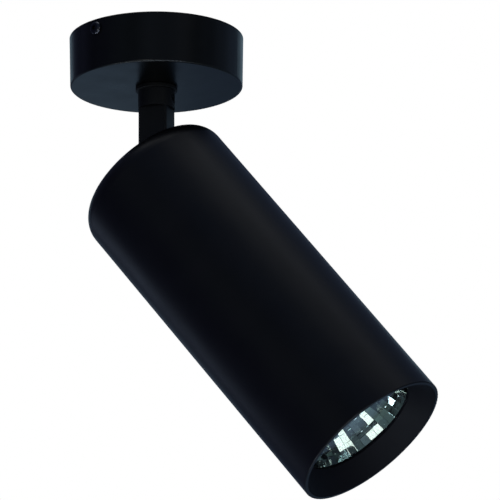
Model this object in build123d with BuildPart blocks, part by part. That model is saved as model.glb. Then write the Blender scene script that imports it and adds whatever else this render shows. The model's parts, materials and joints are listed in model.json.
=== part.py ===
"""Ceiling spotlight: a round ceiling cup, a swivelling stem and a tilting lamp tube.

Millimetres, +Z up. The origin is the centre of the ceiling face. The tube tilts towards +X about
a pivot pin along Y, and hangs at the tilt of the photograph.
"""

import os
from math import cos, hypot, radians, sin, sqrt, tan

from build123d import *

# Pose at rest, and the most that the tube leans from straight down
rest_tilt = 38.8
tilt_limit = 50.0
bracket_turn = 69.0

# Lamp: a 50 mm reflector lamp with a two-pin twist-lock base
lamp_diameter = 50.0
lamp_body_length = 46.5
lamp_rim_depth = 2.4
lamp_rim_width = 0.9
lamp_neck_radius = 8.0
lamp_neck_length = 3.0
reflector_wall = 2.2
glass_thickness = 1.6
glass_recess = 0.1
glass_ledge = 1.1
base_depth = 32.0
base_top_radius = 11.0
base_seat_radius = 9.3
bowl_mid_radius = 20.0
bowl_mid_depth = 16.0
capsule_radius = 4.5
capsule_length = 21.0
pin_spacing = 10.0
pin_neck_radius = 1.5
pin_neck_length = 2.6
pin_head_radius = 2.4
pin_head_length = 3.8
twist_angle = 30.0

# Lamp tube and front ring
tube_length = 127.8
tube_wall = 1.2
tube_back_radius = 7.0
tube_rim_break = 0.3
ring_wall = 0.7
ring_length = 14.0
ring_aperture = 40.6
ring_cone_depth = 6.7
ring_lip = 1.0
ring_recess = 0.1

# Stem: a round collar above a flat-sided tongue
stem_radius = 6.35
collar_height = 6.3
tongue_thickness = 8.6
tongue_width = 10.4
wire_way_width = 8.4
wire_way_height = 2.6
pivot_pin_radius = 1.75

# Ceiling cup and ceiling bracket
cup_wall = 1.2
cup_draft = 1.15
cup_edge_radius = 0.6
cup_room = 2.37
wiring_room = 4.3
bracket_thickness = 1.5
bracket_width = 16.0
bracket_bend = 0.8
tab_width = 12.0
tab_height = 7.0
cable_hole_radius = 6.0
ceiling_hole_spacing = 40.0
ceiling_hole_radius = 2.25
side_screw_drop = 3.3
side_head_radius = 2.3
side_head_height = 1.1
side_head_round = 1.0
side_screw_grip = 1.5

# Terminal block
poles = ("earth", "neutral", "live")
pole_wall = 0.2
block_side = 0.5
block_depth = 14.0
block_height = 10.5
block_corner = 0.8
sleeve_drop = 4.2
sleeve_radius = 2.3
sleeve_bore = 1.5
sleeve_length = 11.0
clamp_screw_radius = 1.1
clamp_head_radius = 1.6
clamp_head_height = 1.8
clamp_spacing = 6.4
block_screw_radius = 1.25
block_screw_head_radius = 2.1
block_screw_head_height = 1.5

# Swivel: hollow threaded nipple, nuts and washers
nipple_radius = 4.0
nipple_bore = 3.0
nipple_end = 0.8
swivel_washer_radius = 7.2
swivel_washer_thickness = 1.5
swivel_washer_edge = 0.3
stop_washer_radius = 7.6
stop_washer_thickness = 0.8
stop_tab_width = 1.6
stop_peg_radius = 0.8
stop_peg_height = 2.0
stop_radius = 12.5
disc_spring_thickness = 0.5
disc_spring_height = 0.8
swivel_nut_width = 13.0
swivel_nut_height = 2.6
bush_wall = 0.9
bush_lip = 0.7

# Hinge in the tube
hinge_sheet = 1.2
hinge_plate_front = 9.0
hinge_plate_web = 16.0
ear_half_width = 6.5
friction_washer_radius = 4.6
friction_washer_thickness = 0.8
pivot_head_radius = 3.1
pivot_head_height = 2.2
pivot_nut_width = 6.0
pivot_nut_height = 3.0
pivot_spring_radius = 3.3
pivot_spring_thickness = 0.8
pivot_end = 0.6
hinge_screw_spacing = 30.0

# Lampholder and its strap
strap_sheet = 1.0
strap_width = 18.0
strap_foot = 8.4
strap_window_radius = 7.0
holder_width = 20.0
holder_edge = 1.05
holder_height = 14.0
holder_corner = 4.0
holder_screw_spacing = 24.0
holder_screw_sink = 5.0
holder_screw_end = 1.0
contact_thickness = 0.8
contact_tail = 3.0

# Leads and small screws
lead_radius = 0.75
lead_bend = 2.0
earth_lead_bend = 1.0
slack_bend = 6.3
lead_tip = 1.2
slack_drop = 9.5
slack_middle = -4.5
slack_spread = 3.0
slack_straight = 12.6
m3_radius = 1.5
m3_head_radius = 2.75
m3_head_height = 1.6
m3_nut_width = 5.5
m3_nut_height = 2.4
hex_key_width = 1.5
hex_key_depth = 1.2
slot_drive_width = 0.7
slot_drive_depth = 0.6
grub_recess = 0.2
grub_chamfer = 0.3
earth_screw_radius = 1.7
earth_head_radius = 3.2
earth_head_height = 2.0
earth_tag_thickness = 0.8
earth_tag_radius = 3.3
earth_barrel_wall = 0.5
earth_barrel_length = 3.5

# Clearances
ring_slip = 0.1
lamp_side_room = 0.5
lamp_front_gap = 0.2
lamp_seat_gap = 0.3
pin_gap = 0.4
glass_gap = 0.1
running_gap = 0.05
thread_gap = 0.05
slot_gap = 0.45
collar_gap = 0.5
tab_gap = 0.4
hole_gap = 0.2
nut_room = 1.5
strap_nut_room = 0.82
plate_room = 1.5
pivot_gap = 0.45
contact_gap = 0.3
nipple_lead_gap = 0.15
wire_way_gap = 0.35
end_gap = 0.1

# Worked-out radii: lamp, ring and tube nest in one another
lamp_radius = lamp_diameter / 2
ring_seat_radius = lamp_radius + lamp_side_room
ring_radius = ring_seat_radius + ring_wall
tube_bore = ring_radius + ring_slip
tube_radius = tube_bore + tube_wall

# Worked-out heights of the cup and the swivel stack
pole_pitch = 2 * (sleeve_radius + thread_gap + pole_wall + hole_gap + block_screw_radius)
swivel_nut_reach = swivel_nut_width / sqrt(3)
block_near = swivel_nut_reach + nut_room
block_far = block_near + block_depth
block_half_width = len(poles) * pole_pitch / 2 + block_side
cup_bore = hypot(block_far, block_half_width) + cup_room
cup_height = bracket_thickness + block_height + wiring_room + cup_wall
cup_rise = tan(radians(cup_draft))
cup_bottom_z = -cup_height
cup_floor_z = cup_bottom_z + cup_wall
cup_bottom_radius = cup_bore + cup_wall
cup_top_radius = cup_bottom_radius + cup_height * cup_rise
stop_washer_z = cup_floor_z + stop_washer_thickness
disc_spring_z = stop_washer_z + disc_spring_height
lower_nut_z = disc_spring_z + swivel_nut_height
upper_nut_z = lower_nut_z + swivel_nut_height
nipple_top_z = upper_nut_z + nipple_end
bush_top_z = nipple_top_z + bush_lip

# Worked-out heights of the stem
collar_top_z = cup_bottom_z - swivel_washer_thickness
collar_end_z = collar_top_z - collar_height
pivot_z = collar_end_z - collar_gap - tube_radius
nipple_low_z = collar_end_z + end_gap
tongue_end_z = pivot_z - stem_radius
grub_z = (collar_top_z + collar_end_z) / 2

# Worked-out stations along the tube axis, counted from the pivot towards the front
pivot_nut_reach = pivot_nut_width / sqrt(3)
pivot_depth = tube_wall + max(friction_washer_radius, hinge_sheet + pivot_nut_reach) + pivot_gap
back_s = -pivot_depth
back_inner_s = back_s + tube_wall
front_s = back_s + tube_length
hinge_plate_s = back_inner_s + hinge_sheet
strap_foot_s = hinge_plate_s + strap_sheet
lamp_front_s = front_s - ring_cone_depth - ring_lip - lamp_front_gap
lamp_seat_s = lamp_front_s - lamp_body_length
holder_front_s = lamp_seat_s - lamp_seat_gap
holder_back_s = holder_front_s - holder_height
strap_plate_s = holder_back_s - strap_sheet

# Worked-out places across the pivot
tongue_half = tongue_thickness / 2
slot_half = tongue_half + slot_gap
tongue_corner = sqrt(stem_radius**2 - tongue_half**2)
slot_round = slot_gap + slot_half - sqrt(slot_half**2 - tongue_half**2)
slot_end = tongue_corner + slot_round
limit = radians(tilt_limit)
slot_top = pivot_depth * tan(limit) + tongue_corner / cos(limit) + slot_round
hinge_plate_radius = tube_radius - tube_back_radius - plate_room
strap_half_span = hinge_screw_spacing / 2 + m3_nut_width / sqrt(3) + strap_nut_room + strap_sheet
nipple_lead_offset = nipple_bore - lead_radius - nipple_lead_gap
tongue_lead_offset = wire_way_width / 2 - lead_radius - wire_way_gap
ear_inner = tongue_half + running_gap + friction_washer_thickness
ear_outer = ear_inner + hinge_sheet
pivot_spring_outer = ear_outer + pivot_spring_thickness
pivot_nut_outer = pivot_spring_outer + pivot_nut_height

# Frames: the tube's axis leans from straight down towards +X
tilt = radians(rest_tilt)
pivot = Vector(0, 0, pivot_z)
tube_axis = Vector(sin(tilt), 0, -cos(tilt))
tube_up = Vector(cos(tilt), 0, sin(tilt))
tube_section = Plane(origin=pivot, x_dir=tube_up, z_dir=(0, 1, 0))
tube_line = Axis(pivot, tube_axis)
turn = radians(bracket_turn)
bracket_along = Vector(cos(turn), sin(turn), 0)
bracket_across = Vector(-sin(turn), cos(turn), 0)


def tube_plane(station):
    """Plane across the tube axis, facing the front, with X on the tube's upper side."""
    return Plane(origin=pivot + tube_axis * station, x_dir=tube_up, z_dir=tube_axis)


def tube_point(up, side, station):
    """Point of the tube: distance to its upper side, sideways, and along the axis."""
    return tube_plane(station).from_local_coords((up, side, 0))


def bracket_plane(height):
    """Level plane with X along the ceiling bracket."""
    return Plane(origin=(0, 0, height), x_dir=bracket_along, z_dir=(0, 0, 1))


def bracket_point(along, across, height):
    """Point in the ceiling bracket's own directions."""
    return bracket_plane(height).from_local_coords((along, across, 0))


def bracket_end_plane(reach, height):
    """Upright plane facing along the ceiling bracket, at a distance from its centre."""
    return Plane(origin=bracket_point(reach, 0, height), x_dir=bracket_across, z_dir=bracket_along)


def keep(piece, name):
    """Name a finished piece and write it."""
    piece.part.label = name
    export_step(piece.part, f"parts/{name}.step")


def washer(plane, outer, inner, thickness):
    """Flat ring on a plane."""
    with BuildPart() as ring:
        with BuildSketch(plane):
            Circle(outer)
            Circle(inner, mode=Mode.SUBTRACT)
        extrude(amount=thickness)
    return ring


def hex_nuts(planes, width, bore, height):
    """Hexagon nuts, one on each plane."""
    with BuildPart() as nuts:
        for plane in planes:
            with BuildSketch(plane):
                RegularPolygon(width / 2, 6, major_radius=False)
                Circle(bore, mode=Mode.SUBTRACT)
            extrude(amount=height)
    return nuts


def slotted_screws(planes, head_radius, head_height, shank_radius, shank_length):
    """Slotted screws whose heads sit on the planes and whose shanks go in behind them."""
    with BuildPart() as screws:
        for plane in planes:
            with BuildSketch(plane):
                Circle(head_radius)
            extrude(amount=head_height)
            with BuildSketch(plane):
                Circle(shank_radius)
            extrude(amount=-shank_length)
            with BuildSketch(plane.offset(head_height)):
                Rectangle(2 * head_radius, slot_drive_width)
            extrude(amount=-slot_drive_depth, mode=Mode.SUBTRACT)
    return screws


def socket_screws(planes, head_radius, head_height, head_round, shank_length):
    """Round-head hexagon socket screws whose heads sit on the planes."""
    with BuildPart() as screws:
        for plane in planes:
            with BuildSketch(plane):
                Circle(head_radius)
            extrude(amount=head_height)
            head_top = screws.faces().sort_by(Axis(plane.origin, plane.z_dir))[-1]
            fillet(head_top.edges(), head_round)
            with BuildSketch(plane):
                Circle(m3_radius)
            extrude(amount=-shank_length)
            with BuildSketch(plane.offset(head_height)):
                RegularPolygon(hex_key_width / 2, 6, major_radius=False)
            extrude(amount=-hex_key_depth, mode=Mode.SUBTRACT)
    return screws


def lead(points, bend):
    """Insulated lead swept along straight runs with round bends."""
    with BuildPart() as wire:
        with BuildLine() as route:
            FilletPolyline(*points, radius=bend)
        with BuildSketch(Plane(origin=route.line @ 0, z_dir=route.line % 0)):
            Circle(lead_radius)
        sweep()
    return wire


os.makedirs("parts", exist_ok=True)

# Ceiling cup: a drawn cup, open at the ceiling, with a hole for the nipple and two for side screws
with BuildPart() as ceiling_cup:
    with BuildSketch(Plane.XZ):
        with BuildLine():
            Polyline(
                (nipple_radius + hole_gap, cup_bottom_z),
                (cup_bottom_radius, cup_bottom_z),
                (cup_top_radius, 0),
                (cup_top_radius - cup_wall, 0),
                (cup_bore + cup_wall * cup_rise, cup_floor_z),
                (nipple_radius + hole_gap, cup_floor_z),
                close=True,
            )
        make_face()
    revolve(axis=Axis.Z)
    low_edges = ceiling_cup.edges().filter_by(GeomType.CIRCLE).group_by(Axis.Z)[0]
    fillet(low_edges.sort_by(SortBy.RADIUS)[-1], cup_edge_radius)
    with BuildSketch(bracket_end_plane(0, -side_screw_drop)):
        Circle(m3_radius + hole_gap)
    extrude(amount=cup_top_radius, both=True, mode=Mode.SUBTRACT)
keep(ceiling_cup, "ceiling_cup")

# Ceiling bracket: a strap with two bent tabs, ceiling screw holes, a cable hole and a side wing
tab_reach = sqrt((cup_bore - tab_gap) ** 2 - (tab_width / 2) ** 2)
block_screw_along = pole_pitch / 2
block_screw_across = (block_near + block_far) / 2
wing_width = pole_pitch + 2 * block_screw_head_radius
wing_reach = block_screw_across + 2 * block_screw_head_radius
earth_along = -(cable_hole_radius + ceiling_hole_spacing / 2 - ceiling_hole_radius) / 2
earth_across = -(bracket_width / 2 - earth_head_radius)
with BuildPart() as ceiling_bracket:
    with BuildSketch(bracket_plane(0)):
        Rectangle(2 * tab_reach, tab_width)
        Rectangle(2 * (tab_reach - bracket_thickness - bracket_bend), bracket_width)
        with Locations((block_screw_along, wing_reach / 2)):
            Rectangle(wing_width, wing_reach)
        Circle(cable_hole_radius, mode=Mode.SUBTRACT)
        with Locations((ceiling_hole_spacing / 2, 0), (-ceiling_hole_spacing / 2, 0)):
            Circle(ceiling_hole_radius, mode=Mode.SUBTRACT)
        with Locations((earth_along, earth_across)):
            Circle(earth_screw_radius + thread_gap, mode=Mode.SUBTRACT)
        with Locations((block_screw_along, block_screw_across)):
            Circle(block_screw_radius + thread_gap, mode=Mode.SUBTRACT)
    extrude(amount=-bracket_thickness)
    with BuildSketch(bracket_plane(0)):
        tab_centre = tab_reach - bracket_thickness / 2
        with Locations((tab_centre, 0), (-tab_centre, 0)):
            Rectangle(bracket_thickness, tab_width)
    extrude(amount=-tab_height)
    across_edges = ceiling_bracket.edges().filter_by(Axis((0, 0, 0), bracket_across)).group_by(Axis.Z)[-1]
    across_edges = across_edges.sort_by(Axis((0, 0, 0), bracket_along))
    fillet([across_edges[0], across_edges[-1]], bracket_bend)
    with BuildSketch(bracket_end_plane(0, -side_screw_drop)):
        Circle(m3_radius + thread_gap)
    extrude(amount=cup_top_radius, both=True, mode=Mode.SUBTRACT)
keep(ceiling_bracket, "ceiling_bracket")

# Side screws: round heads on the cup's wall, shanks in the bracket's tabs
side_screw_reach = cup_top_radius - (side_screw_drop - side_head_radius) * cup_rise
side_screw_length = side_screw_reach - tab_reach + bracket_thickness + side_screw_grip
side_plane = bracket_end_plane(side_screw_reach, -side_screw_drop)
opposite_plane = Plane(
    origin=bracket_point(-side_screw_reach, 0, -side_screw_drop),
    x_dir=bracket_across,
    z_dir=-bracket_along,
)
keep(
    socket_screws(
        [side_plane, opposite_plane], side_head_radius, side_head_height, side_head_round, side_screw_length
    ),
    "side_screws",
)

# Terminal block: a moulded body under the bracket's wing, with one brass sleeve a pole
pole_places = [(index - (len(poles) - 1) / 2) * pole_pitch for index in range(len(poles))]
earth_pole, neutral_pole, live_pole = pole_places
block_centre = (block_near + block_far) / 2
block_top_z = -bracket_thickness
block_low_z = block_top_z - block_height
sleeve_z = block_top_z - sleeve_drop
sleeve_near = block_far - end_gap - sleeve_length
clamp_places = [
    (pole, block_far - end_gap - sleeve_length / 2 + side * clamp_spacing / 2)
    for pole in pole_places
    for side in (-1, 1)
]
clamp_seat_z = block_low_z + clamp_head_height


def sleeve_plane(across):
    """Upright plane facing across the bracket, at the height of the sleeves."""
    return Plane(
        origin=bracket_point(0, across, sleeve_z), x_dir=-bracket_along, z_dir=bracket_across
    )


with BuildPart() as terminal_block:
    with BuildSketch(bracket_plane(block_top_z)):
        with Locations((0, block_centre)):
            RectangleRounded(2 * block_half_width, block_depth, block_corner)
    extrude(amount=-block_height)
    with BuildSketch(sleeve_plane(block_far)):
        with Locations([(pole, 0) for pole in pole_places]):
            Circle(sleeve_radius + thread_gap)
    extrude(amount=-(end_gap + sleeve_length), mode=Mode.SUBTRACT)
    with BuildSketch(sleeve_plane(block_near)):
        with Locations([(pole, 0) for pole in pole_places]):
            Circle(sleeve_bore)
    extrude(amount=block_depth, mode=Mode.SUBTRACT)
    with BuildSketch(bracket_plane(block_low_z)):
        with Locations(clamp_places):
            Circle(clamp_head_radius + hole_gap)
    extrude(amount=block_height - sleeve_drop, mode=Mode.SUBTRACT)
    with BuildSketch(bracket_plane(block_low_z)):
        with Locations((block_screw_along, block_screw_across)):
            Circle(block_screw_radius + hole_gap)
    extrude(amount=block_height, mode=Mode.SUBTRACT)
keep(terminal_block, "terminal_block")

# Brass sleeves, open at both ends, each with two threaded holes from below
with BuildPart() as terminal_sleeves:
    with BuildSketch(sleeve_plane(block_far - end_gap)):
        with Locations([(pole, 0) for pole in pole_places]):
            Circle(sleeve_radius)
            Circle(sleeve_bore, mode=Mode.SUBTRACT)
    extrude(amount=-sleeve_length)
    with BuildSketch(bracket_plane(sleeve_z)):
        with Locations(clamp_places):
            Circle(clamp_screw_radius + thread_gap)
    extrude(amount=-2 * sleeve_radius, mode=Mode.SUBTRACT)
keep(terminal_sleeves, "terminal_sleeves")

# Clamp screws: their tips stop short of the lead in the sleeve
clamp_planes = []
for along, across in clamp_places:
    clamp_planes.append(
        Plane(origin=bracket_point(along, across, clamp_seat_z), x_dir=bracket_along, z_dir=(0, 0, -1))
    )
clamp_length = sleeve_z - lead_radius - end_gap - clamp_seat_z
keep(
    slotted_screws(clamp_planes, clamp_head_radius, clamp_head_height, clamp_screw_radius, clamp_length),
    "clamp_screws",
)

# Screw that holds the terminal block to the bracket's wing
block_screw_plane = Plane(
    origin=bracket_point(block_screw_along, block_screw_across, block_low_z),
    x_dir=bracket_along,
    z_dir=(0, 0, -1),
)
keep(
    slotted_screws(
        [block_screw_plane],
        block_screw_head_radius,
        block_screw_head_height,
        block_screw_radius,
        block_height + bracket_thickness - end_gap,
    ),
    "block_screw",
)

# Earth screw and its ring tag, under the bracket
earth_tag_low_z = block_top_z - earth_tag_thickness
earth_screw_plane = Plane(
    origin=bracket_point(earth_along, earth_across, earth_tag_low_z),
    x_dir=bracket_along,
    z_dir=(0, 0, -1),
)
keep(
    slotted_screws(
        [earth_screw_plane],
        earth_head_radius,
        earth_head_height,
        earth_screw_radius,
        earth_tag_thickness + bracket_thickness - end_gap,
    ),
    "earth_screw",
)
barrel_radius = lead_radius + running_gap + earth_barrel_wall
barrel_z = block_top_z - barrel_radius
barrel_start = earth_across + earth_tag_radius
barrel_plane = Plane(
    origin=bracket_point(earth_along, barrel_start, barrel_z),
    x_dir=-bracket_along,
    z_dir=bracket_across,
)
with BuildPart() as earth_tag:
    with BuildSketch(bracket_plane(block_top_z)):
        with Locations((earth_along, earth_across)):
            Circle(earth_tag_radius)
        with Locations((earth_along, earth_across + earth_tag_radius / 2)):
            Rectangle(2 * barrel_radius, earth_tag_radius)
        with Locations((earth_along, earth_across)):
            Circle(earth_screw_radius + thread_gap, mode=Mode.SUBTRACT)
    extrude(amount=-earth_tag_thickness)
    with BuildSketch(barrel_plane):
        Circle(barrel_radius)
    extrude(amount=earth_barrel_length)
    with BuildSketch(barrel_plane.offset(earth_tag_thickness)):
        Circle(lead_radius + running_gap)
    extrude(amount=earth_barrel_length, mode=Mode.SUBTRACT)
keep(earth_tag, "earth_tag")

# Leads in the cup, from the nipple and the earth tag to the terminal block
lead_end_across = sleeve_near + sleeve_length / 2
lead_entry_across = block_near - lead_radius
lead_crest_z = sleeve_z + 2 * lead_radius
nipple_along = nipple_lead_offset * cos(turn)
nipple_across = -nipple_lead_offset * sin(turn)
live_lead = lead(
    [
        bracket_point(nipple_along, nipple_across, bush_top_z),
        bracket_point(nipple_along, nipple_across, lead_crest_z),
        bracket_point(live_pole, block_near / 2, lead_crest_z),
        bracket_point(live_pole, lead_entry_across, sleeve_z),
        bracket_point(live_pole, lead_end_across, sleeve_z),
    ],
    lead_bend,
)
keep(live_lead, "cup_live_lead")
neutral_lead = lead(
    [
        bracket_point(-nipple_along, -nipple_across, bush_top_z),
        bracket_point(-nipple_along, -nipple_across, lead_crest_z),
        bracket_point(neutral_pole, lead_entry_across, sleeve_z),
        bracket_point(neutral_pole, lead_end_across, sleeve_z),
    ],
    lead_bend,
)
keep(neutral_lead, "cup_neutral_lead")
earth_lead = lead(
    [
        bracket_point(earth_along, barrel_start + earth_tag_thickness, barrel_z),
        bracket_point(earth_along, barrel_start + earth_barrel_length + earth_lead_bend, barrel_z),
        bracket_point(earth_pole, lead_entry_across, sleeve_z),
        bracket_point(earth_pole, lead_end_across, sleeve_z),
    ],
    earth_lead_bend,
)
keep(earth_lead, "cup_earth_lead")

# Stop peg on the cup's floor, which the stop washer's tab meets at the end of the swivel
with BuildPart() as stop_peg:
    with BuildSketch(bracket_plane(cup_floor_z)):
        with Locations((0, stop_radius)):
            Circle(stop_peg_radius)
    extrude(amount=stop_peg_height)
keep(stop_peg, "stop_peg")

# Swivel washer between cup and collar, with round outer edges
swivel_washer = washer(
    Plane.XY.offset(collar_top_z),
    swivel_washer_radius,
    nipple_radius + thread_gap,
    swivel_washer_thickness,
)
with BuildPart() as round_washer:
    add(swivel_washer.part)
    fillet(round_washer.edges().filter_by(GeomType.CIRCLE).sort_by(SortBy.RADIUS)[-2:], swivel_washer_edge)
keep(round_washer, "swivel_washer")

# Hollow threaded nipple that carries the stem
keep(
    washer(Plane.XY.offset(nipple_low_z), nipple_radius, nipple_bore, nipple_top_z - nipple_low_z),
    "swivel_nipple",
)

# Stop washer with its tab, on the cup's floor
with BuildPart() as stop_washer:
    with BuildSketch(bracket_plane(cup_floor_z)):
        Circle(stop_washer_radius)
        with Locations((0, -stop_radius / 2)):
            Rectangle(stop_tab_width, stop_radius + 2 * stop_peg_radius)
        Circle(nipple_radius + thread_gap, mode=Mode.SUBTRACT)
    extrude(amount=stop_washer_thickness)
keep(stop_washer, "stop_washer")

# Disc spring that keeps the swivel stiff
disc_inner = nipple_radius + hole_gap
with BuildPart() as disc_spring:
    with BuildSketch(Plane.XZ):
        with BuildLine():
            Polyline(
                (disc_inner, disc_spring_z - disc_spring_thickness),
                (disc_inner, disc_spring_z),
                (stop_washer_radius, stop_washer_z + disc_spring_thickness),
                (stop_washer_radius, stop_washer_z),
                close=True,
            )
        make_face()
    revolve(axis=Axis.Z)
keep(disc_spring, "swivel_disc_spring")

# Nut and lock nut on the nipple
nut_bore = nipple_radius + thread_gap
for nut_name, nut_z in (("swivel_nut", disc_spring_z), ("swivel_lock_nut", lower_nut_z)):
    keep(hex_nuts([Plane.XY.offset(nut_z)], swivel_nut_width, nut_bore, swivel_nut_height), nut_name)

# Insulating bush on the nipple's top end
with BuildPart() as nipple_bush:
    with BuildSketch(Plane.XY.offset(upper_nut_z)):
        Circle(nipple_radius + bush_wall)
        Circle(nipple_radius + thread_gap, mode=Mode.SUBTRACT)
    extrude(amount=nipple_end)
    with BuildSketch(Plane.XY.offset(nipple_top_z)):
        Circle(nipple_radius + bush_wall)
        Circle(nipple_bore, mode=Mode.SUBTRACT)
    extrude(amount=bush_lip)
keep(nipple_bush, "nipple_bush")

# Stem: round collar, flat-sided tongue with a rounded end, and a wire way past the pivot
with BuildPart() as stem:
    with BuildSketch(Plane.XY.offset(collar_top_z)):
        Circle(stem_radius)
    extrude(amount=-collar_height)
    with BuildSketch(Plane.XY.offset(collar_end_z)):
        Circle(stem_radius)
        Rectangle(tongue_width, tongue_thickness, mode=Mode.INTERSECT)
    extrude(amount=tongue_end_z - collar_end_z)
    with BuildSketch(Plane.XZ.offset(-stem_radius)):
        with Locations((0, (pivot_z + tongue_end_z) / 2)):
            Rectangle(2 * stem_radius, stem_radius)
        with Locations((0, pivot_z)):
            Circle(stem_radius, mode=Mode.SUBTRACT)
    extrude(amount=2 * stem_radius, mode=Mode.SUBTRACT)
    with BuildSketch(Plane.XY.offset(collar_top_z)):
        Circle(nipple_radius + thread_gap)
    extrude(amount=nipple_low_z - end_gap / 2 - collar_top_z, mode=Mode.SUBTRACT)
    with BuildSketch(Plane.XY.offset(collar_end_z + end_gap)):
        SlotOverall(wire_way_width, wire_way_height)
    extrude(amount=tongue_end_z - collar_end_z - 2 * end_gap, mode=Mode.SUBTRACT)
    with BuildSketch(Plane.XZ):
        with Locations((0, pivot_z)):
            Circle(pivot_pin_radius + running_gap)
    extrude(amount=stem_radius, both=True, mode=Mode.SUBTRACT)
    with BuildSketch(Plane.YZ):
        with Locations((0, grub_z)):
            Circle(m3_radius + thread_gap)
    extrude(amount=stem_radius, mode=Mode.SUBTRACT)
keep(stem, "stem")

# Grub screw in the collar that locks it on the nipple
grub_reach = stem_radius - grub_recess
grub_plane = Plane(origin=(grub_reach, 0, grub_z), x_dir=(0, 1, 0), z_dir=(1, 0, 0))
grub_length = grub_reach - nipple_radius - running_gap
with BuildPart() as grub_screw:
    with BuildSketch(grub_plane):
        Circle(m3_radius)
    extrude(amount=-grub_length)
    outer_end = grub_screw.faces().sort_by(Axis.X)[-1]
    chamfer(outer_end.edges(), grub_chamfer)
    with BuildSketch(grub_plane):
        RegularPolygon(hex_key_width / 2, 6, major_radius=False)
    extrude(amount=-hex_key_depth, mode=Mode.SUBTRACT)
keep(grub_screw, "stem_grub_screw")

# Leads through the nipple and down both sides of the pivot
for side, stem_lead_name in ((1, "stem_live_lead"), (-1, "stem_neutral_lead")):
    stem_lead = lead(
        [
            (side * nipple_lead_offset, 0, bush_top_z),
            (side * nipple_lead_offset, 0, nipple_low_z),
            (side * tongue_lead_offset, 0, (nipple_low_z + pivot_z) / 2),
            (side * tongue_lead_offset, 0, tongue_end_z - lead_tip),
        ],
        slack_bend,
    )
    keep(stem_lead, stem_lead_name)

# Lamp tube: a drawn tube with a round-edged closed back and a slot for the tongue
with BuildPart() as lamp_tube:
    with BuildSketch(tube_section):
        with BuildLine():
            Line((0, back_s), (tube_radius - tube_back_radius, back_s))
            RadiusArc(
                (tube_radius - tube_back_radius, back_s),
                (tube_radius, back_s + tube_back_radius),
                -tube_back_radius,
            )
            Polyline(
                (tube_radius, back_s + tube_back_radius),
                (tube_radius, front_s),
                (tube_bore, front_s),
                (tube_bore, back_s + tube_back_radius),
            )
            RadiusArc(
                (tube_bore, back_s + tube_back_radius),
                (tube_radius - tube_back_radius, back_inner_s),
                tube_back_radius - tube_wall,
            )
            Polyline((tube_radius - tube_back_radius, back_inner_s), (0, back_inner_s), (0, back_s))
        make_face()
    revolve(axis=tube_line)
    rim_edges = lamp_tube.edges().filter_by(GeomType.CIRCLE).group_by(tube_line)[-1]
    fillet(rim_edges.sort_by(SortBy.RADIUS)[-1], tube_rim_break)
    with BuildSketch(tube_plane(back_s - tube_wall)):
        with Locations(((slot_top - slot_end) / 2, 0)):
            SlotOverall(slot_top + slot_end, 2 * slot_half)
    extrude(amount=tube_back_radius + tube_wall, mode=Mode.SUBTRACT)
    with BuildSketch(tube_plane(back_s)):
        with Locations((0, hinge_screw_spacing / 2), (0, -hinge_screw_spacing / 2)):
            Circle(m3_radius + hole_gap)
    extrude(amount=tube_wall, mode=Mode.SUBTRACT)
keep(lamp_tube, "lamp_tube")

# Hinge bracket: a plate on the tube's back with two ears that hold the pivot pin
with BuildPart() as hinge_bracket:
    with BuildSketch(tube_plane(back_inner_s)):
        Circle(hinge_plate_radius)
        with Locations(((hinge_plate_front - hinge_plate_web) / 2, 0)):
            Rectangle(
                hinge_plate_front + hinge_plate_web, 2 * hinge_plate_radius, mode=Mode.INTERSECT
            )
        with Locations(((hinge_plate_radius - slot_end - slot_gap) / 2, 0)):
            Rectangle(hinge_plate_radius + slot_end + slot_gap, 2 * ear_inner, mode=Mode.SUBTRACT)
        with Locations((0, hinge_screw_spacing / 2), (0, -hinge_screw_spacing / 2)):
            Circle(m3_radius + hole_gap, mode=Mode.SUBTRACT)
    extrude(amount=hinge_sheet)
    for side in (-1, 1):
        ear_plane = Plane(
            origin=pivot + Vector(0, side * ear_inner, 0), x_dir=tube_up, z_dir=(0, side, 0)
        )
        ear_drop = side * (back_inner_s + hinge_sheet / 2)
        with BuildSketch(ear_plane):
            Circle(ear_half_width)
            with Locations((0, ear_drop / 2)):
                Rectangle(2 * ear_half_width, abs(ear_drop))
            Circle(pivot_pin_radius + thread_gap, mode=Mode.SUBTRACT)
        extrude(amount=hinge_sheet)
    with BuildSketch(tube_plane(back_inner_s)):
        Rectangle(2 * tube_radius, 2 * tube_radius)
    extrude(amount=-tube_radius, mode=Mode.SUBTRACT)
keep(hinge_bracket, "hinge_bracket")

# Pivot: shouldered screw along Y with friction washers, a spring washer and a nut
head_plane = Plane(origin=pivot - Vector(0, ear_outer, 0), x_dir=tube_up, z_dir=(0, -1, 0))
pivot_length = ear_outer + pivot_nut_outer + pivot_end
keep(
    slotted_screws([head_plane], pivot_head_radius, pivot_head_height, pivot_pin_radius, pivot_length),
    "pivot_screw",
)
with BuildPart() as friction_washers:
    for side in (-1, 1):
        friction_plane = Plane(
            origin=pivot + Vector(0, side * (tongue_half + running_gap), 0),
            x_dir=tube_up,
            z_dir=(0, side, 0),
        )
        with BuildSketch(friction_plane):
            Circle(friction_washer_radius)
            Circle(pivot_pin_radius + thread_gap, mode=Mode.SUBTRACT)
        extrude(amount=friction_washer_thickness)
keep(friction_washers, "friction_washers")
spring_plane = Plane(origin=pivot + Vector(0, ear_outer, 0), x_dir=tube_up, z_dir=(0, 1, 0))
keep(
    washer(
        spring_plane, pivot_spring_radius, pivot_pin_radius + thread_gap, pivot_spring_thickness
    ),
    "pivot_spring_washer",
)
keep(
    hex_nuts(
        [spring_plane.offset(pivot_spring_thickness)],
        pivot_nut_width,
        pivot_pin_radius + thread_gap,
        pivot_nut_height,
    ),
    "pivot_nut",
)

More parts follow.
